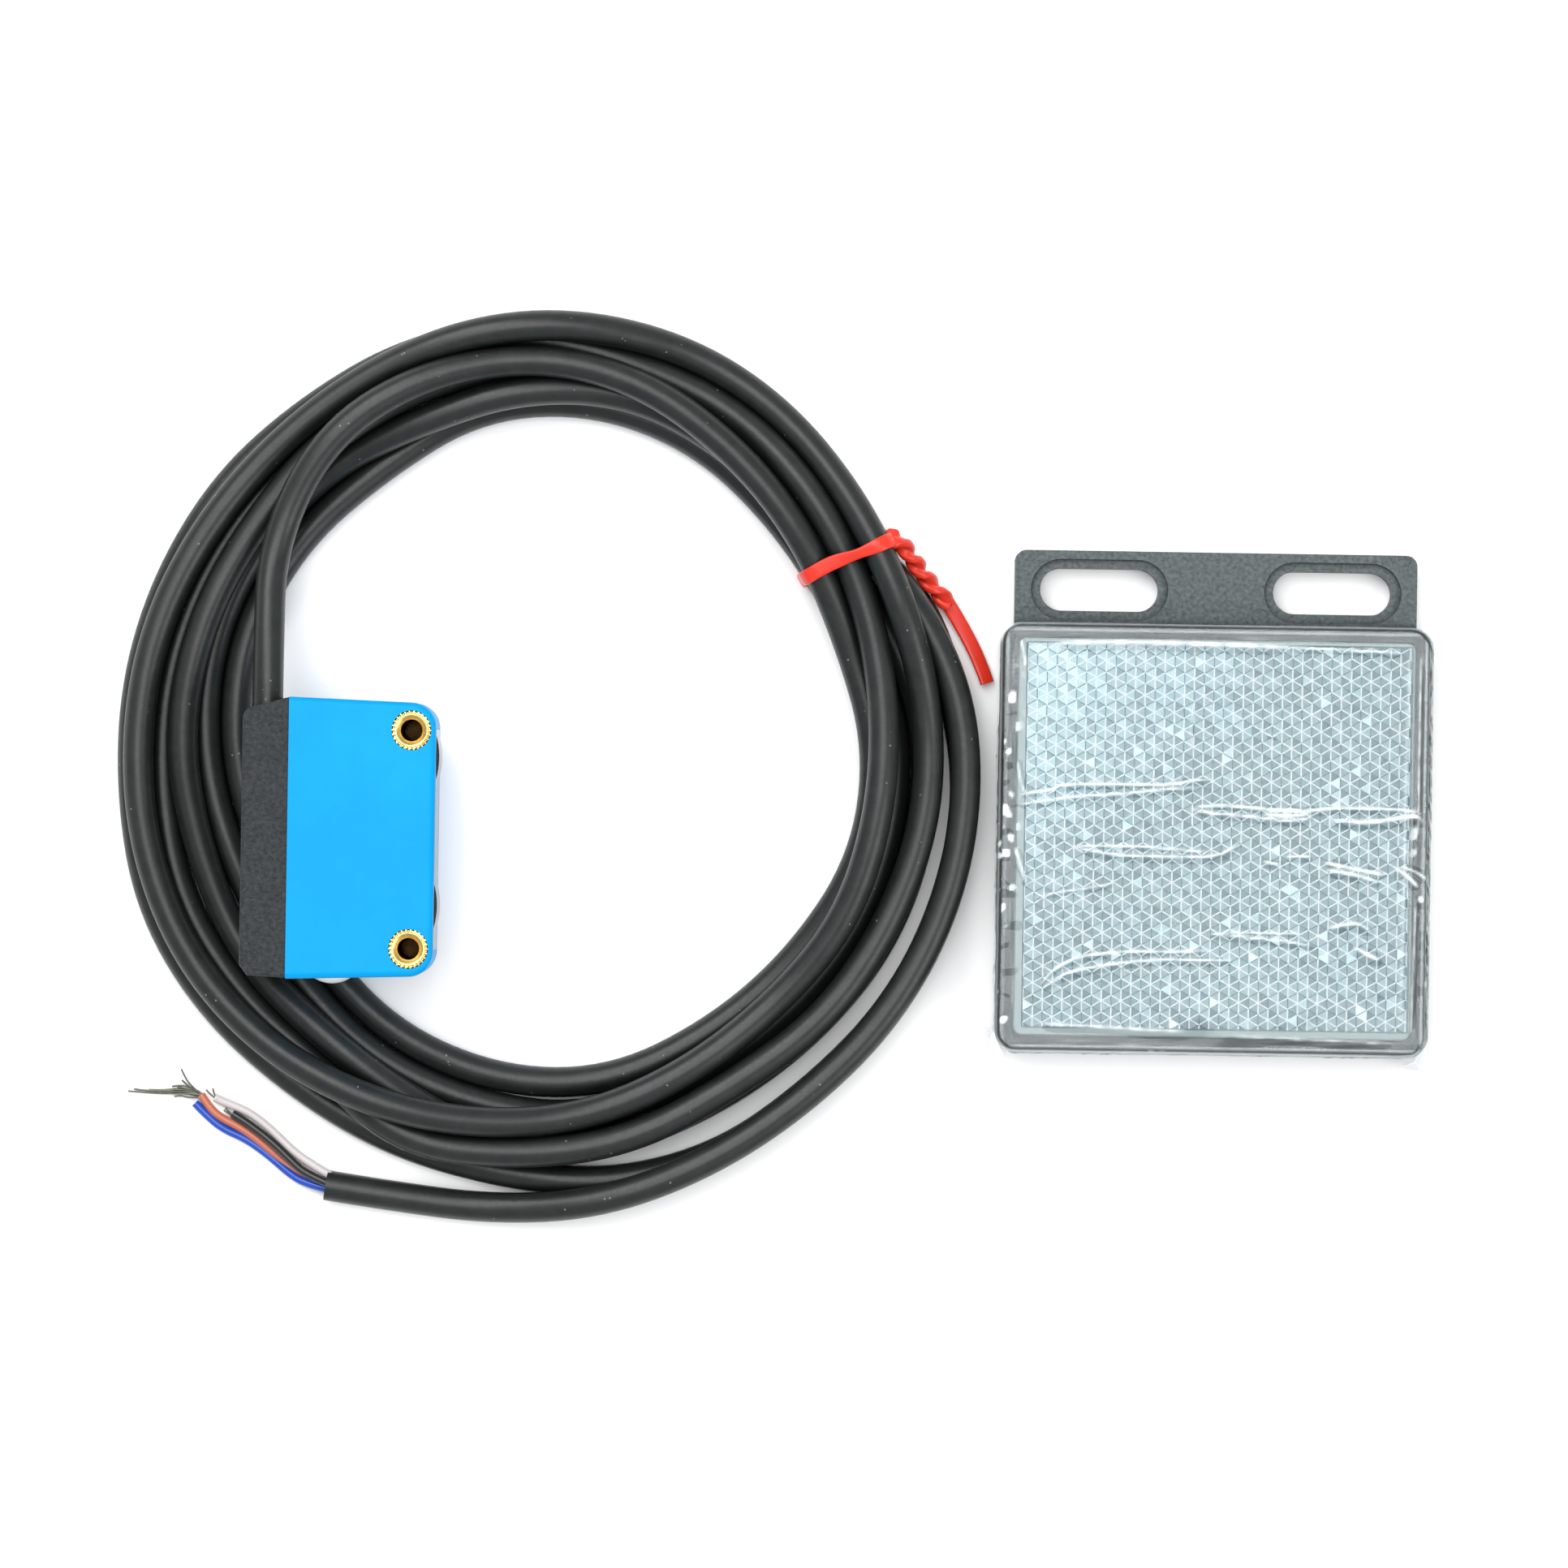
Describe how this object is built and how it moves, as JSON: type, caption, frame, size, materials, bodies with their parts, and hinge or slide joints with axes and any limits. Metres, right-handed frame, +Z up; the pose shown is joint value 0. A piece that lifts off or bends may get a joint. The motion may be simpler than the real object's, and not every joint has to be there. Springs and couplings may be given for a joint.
{
  "type": "photoelectric sensor",
  "caption": "Miniature retro-reflective photoelectric sensor on its coiled lead, with its screw-on prismatic reflector.",
  "frame": {"origin": "on the standing surface, at the centre of the box round the sensor and its reflector, measured without the lead", "axes": "+X from the sensor towards the reflector, which is also the way the optics look; +Y along the sensor's height, towards its cable outlet; +Z up, through the sensor's thickness"},
  "size_m": [0.154, 0.1078, 0.0177],
  "materials": {
    "blue_plastic": "satin moulded",
    "black_plastic": "fine textured",
    "window": "polished",
    "lens": "polished",
    "polariser": "clear film",
    "dome": "milky",
    "carrier": "matt",
    "board": "solder mask",
    "chip": "moulded",
    "emitter": "clear",
    "lamp": "clear",
    "pot": "moulded",
    "spindle": "moulded",
    "seal": "matt",
    "brass": "turned and knurled",
    "clamp": "moulded",
    "jacket": "matt extruded",
    "core_blue": "extruded",
    "core_brown": "extruded",
    "core_black": "extruded",
    "core_white": "extruded",
    "copper": "tinned strands",
    "tie": "coated wire",
    "reflector_body": "fine textured",
    "prism": "moulded prisms",
    "film": "thin clear film"
  },
  "bodies": {
    "sensor": {"housing_shell": "blue_plastic", "rear_cover": "black_plastic", "cable_seal": "seal", "cable_clamp": "clamp", "cable_end": "jacket", "front_window": "window", "sender_lens": "lens", "receiver_lens": "lens", "sender_polariser": "polariser", "receiver_polariser": "polariser", "optics_carrier": "carrier", "circuit_board": "board", "sender_led": "emitter", "receiver_photodiode": "chip", "evaluation_chip": "chip", "output_transistor": "chip", "indicator_lamps": "lamp", "indicator_window": "dome", "adjuster_potentiometer": "pot", "adjuster_seal": "seal", "threaded_inserts": "brass", "inner_cores": "core_brown", "cable_lead": "jacket", "cable_coil": "jacket", "cable_tail": "jacket", "core_blue": "core_blue", "core_white": "core_white", "core_black": "core_black", "core_brown": "core_brown", "bare_strands": "copper", "twist_tie": "tie"},
    "adjuster": {"adjuster_spindle": "spindle"},
    "reflector": {"reflector_housing": "reflector_body", "prism_plate": "prism", "film_wrap": "film"}
  },
  "joints": [
    {"name": "adjuster_turn", "type": "hinge", "parent": "sensor", "child": "adjuster", "pos_m": [-0.05437, -0.0213, 0.0116], "axis": [0, -1, 0], "range_deg": [-135, 135]},
    {"name": "reflector_lift", "type": "slide", "parent": "sensor", "child": "reflector", "axis": [0, 0, 1], "range_m": [0, 0.06]}
  ]
}
